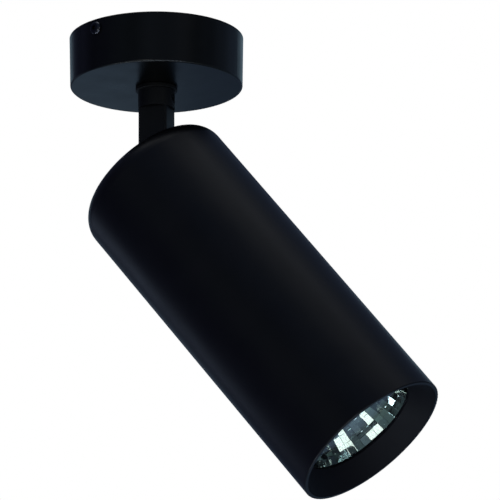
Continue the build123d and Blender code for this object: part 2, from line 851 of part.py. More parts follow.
# Screws through the tube's back that hold the hinge bracket and the lampholder strap
hinge_screw_planes = []
hinge_nut_planes = []
for side in (-1, 1):
    seat = tube_point(0, side * hinge_screw_spacing / 2, back_s)
    hinge_screw_planes.append(Plane(origin=seat, x_dir=tube_up, z_dir=-tube_axis))
    nut_seat = tube_point(0, side * hinge_screw_spacing / 2, strap_foot_s)
    hinge_nut_planes.append(Plane(origin=nut_seat, x_dir=tube_up, z_dir=tube_axis))
hinge_screw_length = strap_foot_s + m3_nut_height - back_s
keep(
    slotted_screws(
        hinge_screw_planes, m3_head_radius, m3_head_height, m3_radius, hinge_screw_length
    ),
    "hinge_screws",
)
keep(
    hex_nuts(hinge_nut_planes, m3_nut_width, m3_radius + thread_gap, m3_nut_height),
    "hinge_screw_nuts",
)

# Lampholder strap: two feet on the hinge bracket, two legs and a cross plate
with BuildPart() as holder_strap:
    with BuildSketch(tube_plane(hinge_plate_s)):
        for side in (-1, 1):
            with Locations((0, side * (strap_half_span - strap_foot / 2))):
                Rectangle(strap_width, strap_foot)
            with Locations((0, side * hinge_screw_spacing / 2)):
                Circle(m3_radius + hole_gap, mode=Mode.SUBTRACT)
    extrude(amount=strap_sheet)
    with BuildSketch(tube_plane(hinge_plate_s)):
        with Locations((0, strap_half_span - strap_sheet / 2), (0, strap_sheet / 2 - strap_half_span)):
            Rectangle(strap_width, strap_sheet)
    extrude(amount=holder_back_s - hinge_plate_s)
    with BuildSketch(tube_plane(strap_plate_s)):
        Rectangle(strap_width, 2 * strap_half_span)
        SlotOverall(2 * strap_window_radius, strap_window_radius, mode=Mode.SUBTRACT)
        with Locations((0, holder_screw_spacing / 2), (0, -holder_screw_spacing / 2)):
            Circle(m3_radius + thread_gap, mode=Mode.SUBTRACT)
    extrude(amount=strap_sheet)
keep(holder_strap, "holder_strap")

# Lampholder: a ceramic block with two keyhole wells that the lamp's pins twist in
pin_circle = pin_spacing / 2
holder_span = holder_screw_spacing + 2 * (m3_head_radius + hole_gap + holder_edge)
holder_lip = pin_neck_length - lamp_seat_gap - pin_gap
holder_well = pin_neck_length + pin_head_length - lamp_seat_gap + contact_thickness + contact_gap


def pin_arc(start):
    """Arc that a pin's centre follows as the lamp twists."""
    with BuildLine() as path:
        CenterArc((0, 0), pin_circle, start, twist_angle)
    return path.edge()


pin_starts = (0, 180)
pin_arcs = [pin_arc(start) for start in pin_starts]
with BuildPart() as lampholder:
    with BuildSketch(tube_plane(holder_back_s)):
        RectangleRounded(holder_width, holder_span, holder_corner)
        with Locations((0, holder_screw_spacing / 2), (0, -holder_screw_spacing / 2)):
            Circle(m3_radius + hole_gap, mode=Mode.SUBTRACT)
        with Locations((pin_circle, 0), (-pin_circle, 0)):
            Circle(lead_radius + hole_gap, mode=Mode.SUBTRACT)
    extrude(amount=holder_height)
    with BuildSketch(tube_plane(holder_front_s - holder_lip)):
        for arc in pin_arcs:
            SlotArc(arc, 2 * (pin_head_radius + pin_gap))
    extrude(amount=-(holder_well - holder_lip), mode=Mode.SUBTRACT)
    with BuildSketch(tube_plane(holder_front_s)):
        for arc in pin_arcs:
            SlotArc(arc, 2 * (pin_neck_radius + pin_gap))
        with PolarLocations(pin_circle, len(pin_starts), start_angle=twist_angle):
            Circle(pin_head_radius + pin_gap)
        with Locations((0, holder_screw_spacing / 2), (0, -holder_screw_spacing / 2)):
            Circle(m3_head_radius + hole_gap)
    extrude(amount=-holder_lip, mode=Mode.SUBTRACT)
    with BuildSketch(tube_plane(holder_front_s)):
        with Locations((0, holder_screw_spacing / 2), (0, -holder_screw_spacing / 2)):
            Circle(m3_head_radius + hole_gap)
    extrude(amount=-holder_screw_sink, mode=Mode.SUBTRACT)
keep(lampholder, "lampholder")

# Contact plates on the floors of the wells, with tails that the leads end at
contact_s = holder_front_s - holder_well
with BuildPart() as contacts:
    with BuildSketch(tube_plane(contact_s)):
        for arc in pin_arcs:
            SlotArc(arc, 2 * pin_head_radius)
    extrude(amount=contact_thickness)
    with BuildSketch(tube_plane(contact_s)):
        with Locations((pin_circle, 0), (-pin_circle, 0)):
            Circle(lead_radius)
    extrude(amount=-contact_tail)
keep(contacts, "lampholder_contacts")

# Screws that hold the lampholder on its strap
holder_screw_planes = []
for side in (-1, 1):
    seat = tube_point(0, side * holder_screw_spacing / 2, holder_front_s - holder_screw_sink)
    holder_screw_planes.append(Plane(origin=seat, x_dir=tube_up, z_dir=tube_axis))
holder_screw_length = holder_height - holder_screw_sink + strap_sheet + holder_screw_end
keep(
    slotted_screws(
        holder_screw_planes, m3_head_radius, m3_head_height, m3_radius, holder_screw_length
    ),
    "lampholder_screws",
)

# Slack leads from the tongue's end to the lampholder
lead_exit_z = tongue_end_z - lead_tip
lead_run = contact_s - contact_tail - end_gap
slack_start = (pivot_z - lead_exit_z + slack_drop) * cos(tilt)
slack_station = (slack_start + lead_run - slack_straight) / 2
for side, tube_lead_name in ((1, "tube_live_lead"), (-1, "tube_neutral_lead")):
    tube_lead = lead(
        [
            (side * tongue_lead_offset, 0, lead_exit_z),
            (side * tongue_lead_offset, 0, lead_exit_z - slack_drop),
            tube_point(slack_middle + side * slack_spread, 0, slack_station),
            tube_point(side * pin_circle, 0, lead_run - slack_straight),
            tube_point(side * pin_circle, 0, lead_run),
        ],
        slack_bend,
    )
    keep(tube_lead, tube_lead_name)

# Front ring: a dark cone from the tube's rim down to the lamp's aperture
with BuildPart() as front_ring:
    with BuildSketch(tube_section):
        ring_front_s = front_s - ring_recess
        lip_s = front_s - ring_cone_depth
        with BuildLine():
            Polyline(
                (ring_radius, ring_front_s),
                (ring_aperture / 2, lip_s),
                (ring_aperture / 2, lip_s - ring_lip),
                (ring_seat_radius, lip_s - ring_lip),
                (ring_seat_radius, front_s - ring_length),
                (ring_radius, front_s - ring_length),
                close=True,
            )
        make_face()
    revolve(axis=tube_line)
keep(front_ring, "front_ring")

# Lamp reflector: a pressed-glass bowl with a rim seat for the front glass
glass_seat_s = lamp_front_s - glass_recess - glass_thickness - glass_gap
glass_seat_radius = lamp_radius - lamp_rim_width
reflector_mouth = glass_seat_radius - glass_ledge
bowl_end_s = lamp_front_s - base_depth
neck_s = bowl_end_s - lamp_neck_length
neck_inner = lamp_neck_radius - reflector_wall
bowl_mid_s = lamp_front_s - bowl_mid_depth
with BuildPart() as lamp_reflector:
    with BuildSketch(tube_section):
        with BuildLine():
            Polyline(
                (glass_seat_radius, glass_seat_s),
                (glass_seat_radius, lamp_front_s),
                (lamp_radius, lamp_front_s),
                (lamp_radius, lamp_front_s - lamp_rim_depth),
            )
            ThreePointArc(
                (lamp_radius, lamp_front_s - lamp_rim_depth),
                (bowl_mid_radius, bowl_mid_s),
                (lamp_neck_radius, bowl_end_s),
            )
            Polyline(
                (lamp_neck_radius, bowl_end_s),
                (lamp_neck_radius, neck_s),
                (neck_inner, neck_s),
                (neck_inner, bowl_end_s),
            )
            ThreePointArc(
                (neck_inner, bowl_end_s),
                (bowl_mid_radius - reflector_wall, bowl_mid_s),
                (reflector_mouth, glass_seat_s),
            )
            Line((reflector_mouth, glass_seat_s), (glass_seat_radius, glass_seat_s))
        make_face()
    revolve(axis=tube_line)
keep(lamp_reflector, "lamp_reflector")

# Lamp front glass, seated in the reflector's rim
with BuildPart() as lamp_glass:
    with BuildSketch(tube_plane(glass_seat_s + glass_gap)):
        Circle(glass_seat_radius - glass_gap)
    extrude(amount=glass_thickness)
keep(lamp_glass, "lamp_front_glass")

# Lamp base: a ceramic cup round the reflector's neck, narrower at its seat
base_top_s = bowl_end_s - end_gap
base_step_s = (neck_s + lamp_seat_s) / 2
with BuildPart() as lamp_base:
    with BuildSketch(tube_section):
        with BuildLine():
            Polyline(
                (0, lamp_seat_s),
                (base_seat_radius, lamp_seat_s),
                (base_seat_radius, base_step_s),
                (base_top_radius, neck_s),
                (base_top_radius, base_top_s),
                (lamp_neck_radius + thread_gap, base_top_s),
                (lamp_neck_radius + thread_gap, neck_s - end_gap),
                (0, neck_s - end_gap),
                close=True,
            )
        make_face()
    revolve(axis=tube_line)
keep(lamp_base, "lamp_base")

# Lamp capsule: a quartz tube with a round tip, standing in the neck
capsule_foot_s = neck_s - end_gap
with BuildPart() as lamp_capsule:
    with BuildSketch(tube_section):
        with BuildLine():
            Polyline(
                (0, capsule_foot_s + capsule_length),
                (0, capsule_foot_s),
                (capsule_radius, capsule_foot_s),
                (capsule_radius, capsule_foot_s + capsule_length - capsule_radius),
            )
            RadiusArc(
                (capsule_radius, capsule_foot_s + capsule_length - capsule_radius),
                (0, capsule_foot_s + capsule_length),
                -capsule_radius,
            )
        make_face()
    revolve(axis=tube_line)
keep(lamp_capsule, "lamp_capsule")

# Lamp pins: a neck and a wider foot, standing on the base
with BuildPart() as lamp_pins:
    with BuildSketch(tube_plane(lamp_seat_s)):
        with Locations((pin_circle, 0), (-pin_circle, 0)):
            Circle(pin_neck_radius)
    extrude(amount=-pin_neck_length)
    with BuildSketch(tube_plane(lamp_seat_s - pin_neck_length)):
        with Locations((pin_circle, 0), (-pin_circle, 0)):
            Circle(pin_head_radius)
    extrude(amount=-pin_head_length)
keep(lamp_pins, "lamp_pins")
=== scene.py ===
"""Ceiling spotlight: a black tube lamp that tilts on a short stem under a round ceiling cup.

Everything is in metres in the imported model's frame: +Z is up and the ceiling face lies at z = 0. Sizes of
the spotlight's pieces and patterns are written in millimetres, and mm turns them into metres. The camera,
the floor and the studio lights are written in metres.
"""
import json
from collections import namedtuple

import bmesh
import bpy
import numpy as np
from mathutils import Matrix, Vector


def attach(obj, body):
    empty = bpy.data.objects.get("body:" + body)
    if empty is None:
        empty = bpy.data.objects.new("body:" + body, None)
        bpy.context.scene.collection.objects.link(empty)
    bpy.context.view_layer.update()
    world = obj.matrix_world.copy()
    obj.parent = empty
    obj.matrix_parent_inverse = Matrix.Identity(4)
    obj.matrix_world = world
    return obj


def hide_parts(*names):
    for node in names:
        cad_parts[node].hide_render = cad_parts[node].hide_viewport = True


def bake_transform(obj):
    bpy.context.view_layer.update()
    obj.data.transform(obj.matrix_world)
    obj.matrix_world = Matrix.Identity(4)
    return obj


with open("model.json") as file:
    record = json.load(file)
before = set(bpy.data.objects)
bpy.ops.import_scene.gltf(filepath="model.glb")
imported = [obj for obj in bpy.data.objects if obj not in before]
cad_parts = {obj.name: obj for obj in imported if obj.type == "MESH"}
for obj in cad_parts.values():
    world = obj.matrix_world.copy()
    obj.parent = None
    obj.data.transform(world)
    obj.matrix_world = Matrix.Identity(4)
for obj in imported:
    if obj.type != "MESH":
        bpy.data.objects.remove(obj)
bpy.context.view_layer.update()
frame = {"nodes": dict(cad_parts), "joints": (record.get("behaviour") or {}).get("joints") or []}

nodes = frame["nodes"]
joints = {joint["name"]: joint for joint in frame["joints"]}
scene = bpy.context.scene
mm = 0.001

# The tube's own axes: the pivot, the way the lamp points, the side, and the way up its back
pivot = np.array(joints["tilt"]["pos_m"])
along = np.array(joints["ring_pull"]["axis"])
across = np.array([0.0, 1.0, 0.0])
above = np.cross(along, across)


def on_tube(places):
    """Points whose places are given as (station along the tube's axis, rise up its back, reach aside)."""
    return pivot + mm * np.array(places) @ np.array([along, above, across])


# Camera: fitted to the outlines of the cup, the stem and the tube in a 500 x 500 picture
focal_pixels = 3345.1
picture_pixels = 500.0
film_width = 36.0
view_depth = 50.0
camera_place = Vector((0.41253, -1.02165, -0.37057))
camera_right = Vector((0.936962, 0.349349, -0.007586))
camera_up = Vector((0.09722, -0.23977, 0.96595))
camera_back = Vector((0.335635, -0.905795, -0.258619))
camera_data = bpy.data.cameras.new("photo_camera")
camera_data.sensor_width = film_width
camera_data.lens = film_width * focal_pixels / picture_pixels
camera_data.clip_end = view_depth
camera = bpy.data.objects.new("photo_camera", camera_data)
camera_turn = Matrix((camera_right, camera_up, camera_back)).transposed()
camera.matrix_world = Matrix.Translation(camera_place) @ camera_turn.to_4x4()
scene.collection.objects.link(camera)
scene.camera = camera


# Finishes: each keeps its material, its nodes, its shader and the coordinates that its patterns lie on
Finish = namedtuple("Finish", "material tree shader place")

# Noise in every finish: the detail of its patches and its grain, and the range that roughness follows
patch_detail, grain_detail = 4.0, 3.0
patch_low, patch_high = 0.3, 0.7


def linear(code):
    """Linear colour with full alpha from an sRGB hex code."""
    channels = [int(code[place:place + 2], 16) / 255 for place in (1, 3, 5)]
    return [c / 12.92 if c <= 0.04045 else ((c + 0.055) / 1.055) ** 2.4 for c in channels] + [1.0]


def add(tree, kind, inputs, **settings):
    """Adds one node with its settings; inputs are values for its sockets or outputs that feed them."""
    node = tree.nodes.new("ShaderNode" + kind)
    for name, value in settings.items():
        setattr(node, name, value)
    for name, value in inputs.items():
        if isinstance(value, bpy.types.NodeSocket):
            tree.links.new(value, node.inputs[name])
        else:
            node.inputs[name].default_value = value
    return node


def per(size):
    """Texture scale for a pattern whose cells are this many millimetres wide."""
    return 1 / (size * mm)


def finish(name, tones, patch, rough, grain, depth, on_axis=False, **sockets):
    """New finish with one Principled shader, whose constant sockets are given in words. Every finish has
    two tones in soft patches, roughness that follows them, and a fine grain raised by depth; patch, grain
    and depth are in millimetres. The patterns lie on Object coordinates, which stay fixed to the piece;
    on_axis takes them from the pivot and turns their Z along the lamp tube."""
    material = bpy.data.materials.new(name)
    material.use_nodes = True
    tree = material.node_tree
    shader = tree.nodes["Principled BSDF"]
    for words, value in sockets.items():
        shader.inputs[words.replace("_", " ")].default_value = value
    place = add(tree, "TexCoord", {}).outputs["Object"]
    if on_axis:
        tilt = np.arctan2(-along[0], along[2])
        centred = add(tree, "VectorMath", {0: place, 1: tuple(pivot)}, operation="SUBTRACT")
        turned = add(tree, "Mapping", {"Vector": centred.outputs["Vector"], "Rotation": (0.0, tilt, 0.0)})
        place = turned.outputs["Vector"]
    cloud = add(tree, "TexNoise", {"Vector": place, "Scale": per(patch), "Detail": patch_detail})
    blend = add(
        tree, "Mix",
        {"Factor": cloud.outputs["Fac"], "A": linear(tones[0]), "B": linear(tones[1])},
        data_type="RGBA",
    )
    gloss = add(tree, "MapRange", {
        "Value": cloud.outputs["Fac"], "From Min": patch_low, "From Max": patch_high,
        "To Min": rough[0], "To Max": rough[1],
    })
    pebble = add(tree, "TexNoise", {"Vector": place, "Scale": per(grain), "Detail": grain_detail})
    bump = add(tree, "Bump", {"Height": pebble.outputs["Fac"], "Strength": 1.0, "Distance": depth * mm})
    tree.links.new(blend.outputs["Result"], shader.inputs["Base Color"])
    tree.links.new(gloss.outputs["Result"], shader.inputs["Roughness"])
    tree.links.new(bump.outputs["Normal"], shader.inputs["Normal"])
    return Finish(material, tree, shader, place)


# Semi-gloss powder coat on pressed steel: deep black with a soft orange peel, smooth enough to mirror
# what stands on it as a blur
coated_steel = finish(
    "powder_coated_steel", IOR=1.45,
    tones=("#010203", "#020305"), patch=9.0, rough=(0.27, 0.33), grain=1.6, depth=0.003,
)

# The same coat laid thicker on the turned stem: rougher, so that it shines little even seen edge on.
# Its tones are painted a little lighter and bluer than the cup's, as painted light that stands in for
# the light the stem catches
stem_coat_painted_lighter = finish(
    "satin_powder_coated_steel_painted_lighter", IOR=1.45,
    tones=("#04060b", "#06080f"), patch=5.0, rough=(0.46, 0.54), grain=0.8, depth=0.006,
)

# Satin powder coat on drawn aluminium: black with a fine even grain that breaks up reflections
coated_aluminium = finish(
    "powder_coated_aluminium", IOR=1.45,
    tones=("#010106", "#020209"), patch=12.0, rough=(0.34, 0.4), grain=0.5, depth=0.003,
)

# Paint over turned aluminium: satin black outside, matt inside against glare, with faint turning lines
# round the axis, drawn 0.6 mm apart so that they show
painted_ring = finish(
    "painted_turned_aluminium", IOR=1.3, on_axis=True,
    tones=("#010109", "#02020d"), patch=8.0, rough=(0.32, 0.38), grain=0.6, depth=0.002,
)
matt_radius, satin_radius = 26.2, 26.7
matt_roughness = 0.26
turning_width, turning_depth = 0.6, 0.01
tree, shader = painted_ring.tree, painted_ring.shader
square_on = add(tree, "VectorMath", {0: painted_ring.place, 1: (1.0, 1.0, 0.0)}, operation="MULTIPLY")
off_axis = add(tree, "VectorMath", {0: square_on.outputs["Vector"]}, operation="LENGTH")
inside = add(tree, "MapRange", {
    "Value": off_axis.outputs["Value"], "From Min": matt_radius * mm, "From Max": satin_radius * mm,
    "To Min": matt_roughness, "To Max": 0.0,
})
satin = shader.inputs["Roughness"].links[0].from_socket
matt = add(tree, "Math", {0: satin, 1: inside.outputs["Result"]}, operation="ADD")
tree.links.new(matt.outputs["Value"], shader.inputs["Roughness"])
station = add(tree, "SeparateXYZ", {"Vector": painted_ring.place})
cut_line = add(
    tree, "TexNoise", {"W": station.outputs["Z"], "Scale": per(turning_width)}, noise_dimensions="1D"
)
fine_grain = shader.inputs["Normal"].links[0].from_socket
line_bump = add(
    tree, "Bump",
    {"Height": cut_line.outputs["Fac"], "Distance": turning_depth * mm, "Normal": fine_grain},
)
tree.links.new(line_bump.outputs["Normal"], shader.inputs["Normal"])

# Zinc plate on pressed steel: cool grey satin metal with cloudy passivation and a fine sparkle
zinc_plate = finish(
    "zinc_plated_steel", Metallic=1.0,
    tones=("#a9b0b6", "#cdd0cf"), patch=2.2, rough=(0.4, 0.56), grain=0.35, depth=0.004,
)

# Black oxide on hardened screws: dark metal, oily sheen, bare steel showing through in specks
black_oxide = finish(
    "black_oxide_steel", Metallic=1.0,
    tones=("#36363c", "#606066"), patch=0.6, rough=(0.16, 0.26), grain=0.25, depth=0.004,
)

# Machined brass: warm yellow with darker tarnish in patches and fine tool marks
machined_brass = finish(
    "machined_brass", Metallic=1.0,
    tones=("#b98d3c", "#d9b45f"), patch=1.5, rough=(0.2, 0.36), grain=0.3, depth=0.005,
)

# Moulded black nylon: soft black with a fine spark-eroded grain
black_nylon = finish(
    "moulded_black_nylon", IOR=1.45,
    tones=("#040405", "#060607"), patch=3.0, rough=(0.5, 0.6), grain=0.3, depth=0.008,
)

# Moulded natural nylon: milky white, slightly uneven, with a soft moulded sheen
white_nylon = finish(
    "moulded_natural_nylon", IOR=1.53, Subsurface_Weight=0.15, Subsurface_Radius=(0.002, 0.0018, 0.0014),
    tones=("#dcd7c8", "#efebdf"), patch=4.0, rough=(0.34, 0.46), grain=0.5, depth=0.006,
)

# Extruded PVC over stranded wire: smooth semi-gloss colour with a slight waviness
pvc_skin = {"patch": 2.0, "rough": (0.3, 0.42), "grain": 0.8, "depth": 0.01, "IOR": 1.53}
brown_pvc = finish("extruded_brown_pvc", tones=("#4f2d1c", "#643a25"), **pvc_skin)
blue_pvc = finish("extruded_blue_pvc", tones=("#1f5fa6", "#2f78c2"), **pvc_skin)

# The same PVC drawn in two colours: green with a broad yellow stripe along one side
earth_pvc = finish("extruded_green_and_yellow_pvc", tones=("#2a7a30", "#338a3a"), **pvc_skin)
stripe_start, stripe_full = 0.2, 0.3
tree, shader = earth_pvc.tree, earth_pvc.shader
skin_mark = add(tree, "Attribute", {}, attribute_name="mark")
stripe = add(
    tree, "MapRange", {"Value": skin_mark.outputs["Fac"], "From Min": stripe_start, "From Max": stripe_full}
)
green = shader.inputs["Base Color"].links[0].from_socket
two_colours = add(
    tree, "Mix", {"Factor": stripe.outputs["Result"], "A": green, "B": linear("#dcc821")},
    data_type="RGBA",
)
tree.links.new(two_colours.outputs["Result"], shader.inputs["Base Color"])

# Fired steatite: off-white unglazed ceramic with fine grit and faint firing shade
fired_steatite = finish(
    "fired_steatite", IOR=1.6,
    tones=("#ddd5c1", "#ece6d6"), patch=3.5, rough=(0.5, 0.66), grain=0.25, depth=0.012,
)

# Aluminised pressed glass: a grey-green mirror with a slight ripple from the mould
mirrored_glass = finish(
    "aluminised_pressed_glass", Metallic=1.0,
    tones=("#e2efec", "#eff8f5"), patch=4.0, rough=(0.0, 0.03), grain=3.0, depth=0.0004,
)

# Clear float glass: nearly invisible, a faint green body and a polished face
clear_glass = finish(
    "clear_float_glass", IOR=1.52, Transmission_Weight=1.0,
    tones=("#f3fbf8", "#fbfffd"), patch=12.0, rough=(0.0, 0.01), grain=6.0, depth=0.0002,
)

# Fused quartz: water-clear tube with a faint drawn ripple
fused_quartz = finish(
    "fused_quartz", IOR=1.46, Transmission_Weight=1.0,
    tones=("#f6fafc", "#ffffff"), patch=5.0, rough=(0.0, 0.03), grain=2.0, depth=0.002,
)

# Drawn tungsten: dark grey wire with a dull metallic shine
drawn_tungsten = finish(
    "drawn_tungsten", Metallic=1.0,
    tones=("#55565a", "#77787c"), patch=0.4, rough=(0.3, 0.45), grain=0.1, depth=0.002,
)

lead_finishes = {"brown_lead": brown_pvc, "blue_lead": blue_pvc, "earth_lead": earth_pvc}
node_finishes = (
    (coated_steel, ("ceiling_cup",)),
    (stem_coat_painted_lighter, ("stem",)),
    (coated_aluminium, ("lamp_tube",)),
    (painted_ring, ("front_ring",)),
    (zinc_plate, (
        "ceiling_bracket", "earth_screw", "earth_tag", "block_screw", "clamp_screws", "swivel_nut",
        "swivel_lock_nut", "swivel_disc_spring", "stop_washer", "hinge_bracket", "holder_strap",
        "pivot_screw", "pivot_nut", "pivot_spring_washer", "hinge_screw_nuts", "lampholder_screws",
        "stop_peg",
    )),
    (black_oxide, ("side_screws", "stem_grub_screw", "hinge_screws")),
    (machined_brass, ("swivel_nipple", "terminal_sleeves", "lampholder_contacts", "lamp_pins")),
    (black_nylon, ("swivel_washer",)),
    (white_nylon, ("nipple_bush", "friction_washers", "terminal_block")),
    (fired_steatite, ("lampholder", "lamp_base")),
    (clear_glass, ("lamp_front_glass",)),
)
for node_finish, members in node_finishes:
    for member in members:
        nodes[member].data.materials.clear()
        nodes[member].data.materials.append(node_finish.material)


# Pieces: points nearer than the first length are merged, and edges under the second are dropped
weld_reach, least_edge = 1e-4 * mm, 1e-5 * mm


def tidy_mesh(mesh, sharp):
    """Merges points that coincide, drops faces that shrank to lines, turns faces outwards and shades
    them smoothly up to the sharp angle."""
    work = bmesh.new()
    work.from_mesh(mesh)
    bmesh.ops.remove_doubles(work, verts=work.verts, dist=weld_reach)
    bmesh.ops.dissolve_degenerate(work, edges=work.edges, dist=least_edge)
    bmesh.ops.recalc_face_normals(work, faces=work.faces)
    work.to_mesh(mesh)
    work.free()
    mesh.shade_smooth()
    mesh.set_sharp_from_angle(angle=np.radians(sharp))


def new_piece(name, points, piece_finish, close_rows=False, sharp=50.0, marks=None):
    """Mesh of a grid of points: columns go round and meet, rows go along and meet if close_rows.
    Rows that shrink to a point are merged there, and faces are turned outwards. Edges that turn by
    more than sharp degrees stay crisp, and marks gives each point a number that its finish can read."""
    rows, columns = points.shape[:2]
    row = np.arange(rows if close_rows else rows - 1)[:, None]
    column = np.arange(columns)[None, :]
    below, beside = (row + 1) % rows, (column + 1) % columns
    corners = np.broadcast_arrays(
        row * columns + column, row * columns + beside, below * columns + beside, below * columns + column
    )
    faces = np.stack(corners, axis=-1).reshape(-1, 4)
    mesh = bpy.data.meshes.new(name)
    mesh.from_pydata(points.reshape(-1, 3).tolist(), [], faces.tolist())
    if marks is not None:
        mesh.attributes.new("mark", "FLOAT", "POINT").data.foreach_set("value", marks.ravel())
    tidy_mesh(mesh, sharp)
    mesh.materials.append(piece_finish.material)
    made = bpy.data.objects.new(name, mesh)
    scene.collection.objects.link(made)
    return made


def round_axis(station, radius, angle):
    """Points at a station along the tube's axis, a radius from it and an angle round it, as whole arrays
    that are spread over each other."""
    station, radius, angle = (values[..., None] for values in np.broadcast_arrays(station, radius, angle))
    spoke = np.cos(angle) * above + np.sin(angle) * across
    return pivot + mm * (station * along + radius * spoke)


def arc_radius(station, start, middle, end):
    """Radius, at each station, of the circular arc through three (station, radius) points. Its centre is
    as far from the start as from the other two, so twice the step from the start to each of them, times
    the centre, is the difference of their squared distances from zero."""
    start, middle, end = np.array([start, middle, end])
    steps = np.array([middle - start, end - start])
    squares = np.array([middle @ middle - start @ start, end @ end - start @ start])
    centre = np.linalg.solve(2 * steps, squares)
    size = np.linalg.norm(start - centre)
    return centre[1] + np.sqrt(np.maximum(size ** 2 - (station - centre[0]) ** 2, 0.0))


# Lamp bowl: rings of flat facets inside, smooth glass outside, which follows the lamp's CAD bowl. Stations
# run along the tube's axis from the pivot
lamp_front = 113.586
glass_seat = 111.786
rim_end = 111.186
bowl_middle = 97.586
bowl_end = 81.586
neck_end = 78.586
mouth_radius, mouth_seat_radius, rim_radius = 23.0, 24.1, 25.0
middle_outer_radius = 20.0
neck_radius, neck_outer_radius = 5.8, 8.0
back_rows = 24

# Facets: the parabola's focus, how many there are, how the rings' heights take turns and grow, where the
# first one starts in facets, the share of its place that each fills, how far its edges lean at the mouth,
# the seed of that lean, the degrees past which an edge stays crisp, and the points across one
bowl_focus = 5.0
facets_round, facet_rings = 50, 14
ring_swing, ring_growth = 0.35, 0.4
facet_turn = 0.5
facet_share = 0.95
facet_lean = 0.115
facet_seed = 12142
facet_crease = 0.3
points_across = 5

# Across a facet: shares of its half width, their angles from its middle, and all angles round the bowl
half_angle = np.pi / facets_round
half_shares = np.linspace(-facet_share, facet_share, points_across)
off_middle = np.arctan(half_shares * np.tan(half_angle))
facet_middles = (2 * np.arange(facets_round) + 1 + 2 * facet_turn) * half_angle
bowl_angles = (facet_middles[:, None] + off_middle).ravel()


def facet_wall():
    """Inner wall: a parabola of revolution, r^2 = 4 f (s - vertex), cut into rings of straight chords,
    and each ring into flat facets. Tall and short rings take turns, and both grow towards the mouth.
    Across a facet of half angle h the wall keeps to the chord: at a share a of the half width, its
    radius is R cos(h) / cos(b) at an angle b from the middle, where tan(b) = a tan(h). Facets stop
    short of each other by a small share, and a narrow strip joins them. Each facet leans a little at
    random, in proportion to its ring's radius."""
    vertex = glass_seat - mouth_radius ** 2 / (4 * bowl_focus)
    count = np.arange(facet_rings)
    height = (1 - ring_swing * (-1.0) ** count) * (1 - ring_growth * (1 - count / (facet_rings - 1)))
    rise = np.concatenate([[0.0], np.cumsum(height) / height.sum()])
    edge_station = glass_seat - (1 - rise) * (mouth_radius ** 2 - neck_radius ** 2) / (4 * bowl_focus)
    edge_radius = np.sqrt(4 * bowl_focus * (edge_station - vertex))
    way = (count[:, None] + 0.5 + 0.5 * np.array([-facet_share, facet_share])).ravel()
    station = np.interp(way, np.arange(facet_rings + 1), edge_station)[:, None]
    ring_radius = np.interp(way, np.arange(facet_rings + 1), edge_radius)[:, None]
    chord = ring_radius * np.cos(half_angle) / np.tile(np.cos(off_middle), facets_round)
    random = np.random.default_rng(facet_seed)
    reach = (edge_radius[1:] + edge_radius[:-1])[:, None] / (2 * mouth_radius)
    lean_across, lean_along = facet_lean * reach * random.uniform(-1, 1, (2, facet_rings, facets_round))
    lean = (
        np.kron(lean_across, np.tile(half_shares, (2, 1)))
        + np.kron(lean_along, np.outer([-1.0, 1.0], np.ones(points_across)))
    )
    return round_axis(station, chord + lean, bowl_angles)


def glass_back():
    """Outer wall: from the front glass's seat over the rim, down the arc of revolution of the pressed
    glass, and along the neck to its end."""
    back_station = np.linspace(rim_end, bowl_end, back_rows)[1:]
    back_radius = arc_radius(
        back_station,
        (bowl_end, neck_outer_radius), (bowl_middle, middle_outer_radius), (rim_end, rim_radius),
    )
    station = np.concatenate([
        [glass_seat, glass_seat, lamp_front, lamp_front, rim_end], back_station, [neck_end, neck_end],
    ])
    radius = np.concatenate([
        [mouth_radius, mouth_seat_radius, mouth_seat_radius, rim_radius, rim_radius], back_radius,
        [neck_outer_radius, neck_radius],
    ])
    return round_axis(station[:, None], radius[:, None], bowl_angles)


bowl_walls = np.concatenate([facet_wall(), glass_back()])
bowl = new_piece("faceted_reflector", bowl_walls, mirrored_glass, close_rows=True, sharp=facet_crease)
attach(bowl, "lamp")
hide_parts("lamp_reflector")

# Capsule: a quartz tube with a pinched foot, a domed tip and a sealing nub
capsule_foot, capsule_length, capsule_radius = 78.486, 21.0, 4.5
pinch_radius, pinch_top_radius = 3.2, 3.6
pinch_height, shoulder_height = 1.0, 3.0
nub_height, nub_width = 0.6, 0.8
dome_rows, capsule_sides = 24, 48


def capsule_wall():
    """Profile along the axis: a short cone from the foot, a straight wall, then a dome of radius R,
    sqrt(R^2 - x^2), whose tip is drawn out into a small nub by a narrow bell curve."""
    wall_end = capsule_foot + capsule_length - capsule_radius - nub_height
    foot_station = capsule_foot + np.array([0.0, 0.0, pinch_height, shoulder_height])
    foot_radius = np.array([0.0, pinch_radius, pinch_top_radius, capsule_radius])
    sweep = np.linspace(0, np.pi / 2, dome_rows)
    dome_radius = capsule_radius * np.cos(sweep)
    nub = nub_height * np.exp(-((dome_radius / nub_width) ** 2))
    dome_station = wall_end + capsule_radius * np.sin(sweep) + nub
    station = np.concatenate([foot_station, dome_station])[:, None]
    radius = np.concatenate([foot_radius, dome_radius])[:, None]
    return round_axis(station, radius, np.linspace(0, 2 * np.pi, capsule_sides, endpoint=False))


capsule = new_piece("quartz_capsule", capsule_wall(), fused_quartz)
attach(capsule, "lamp")
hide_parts("lamp_capsule")

# A way that no wire or lead keeps to for long, from which their round skins are laid out
skin_guide = across + 0.3 * above


def tube_round(line, radius, sides):
    """A round tube along a line of points: at each point a circle stands square to the line's
    direction, on two spokes that are square to it and to each other. Both ends are closed."""
    ahead = np.gradient(line, axis=0)
    ahead /= np.linalg.norm(ahead, axis=1, keepdims=True)
    first = np.cross(ahead, skin_guide)
    first /= np.linalg.norm(first, axis=1, keepdims=True)
    second = np.cross(ahead, first)
    angle = np.linspace(0, 2 * np.pi, sides, endpoint=False)[None, :, None]
    skin = line[:, None] + radius * (np.cos(angle) * first[:, None] + np.sin(angle) * second[:, None])
    ends = [np.repeat(line[place][None, None], sides, axis=1) for place in (0, -1)]
    return np.concatenate([ends[0], skin, ends[1]])


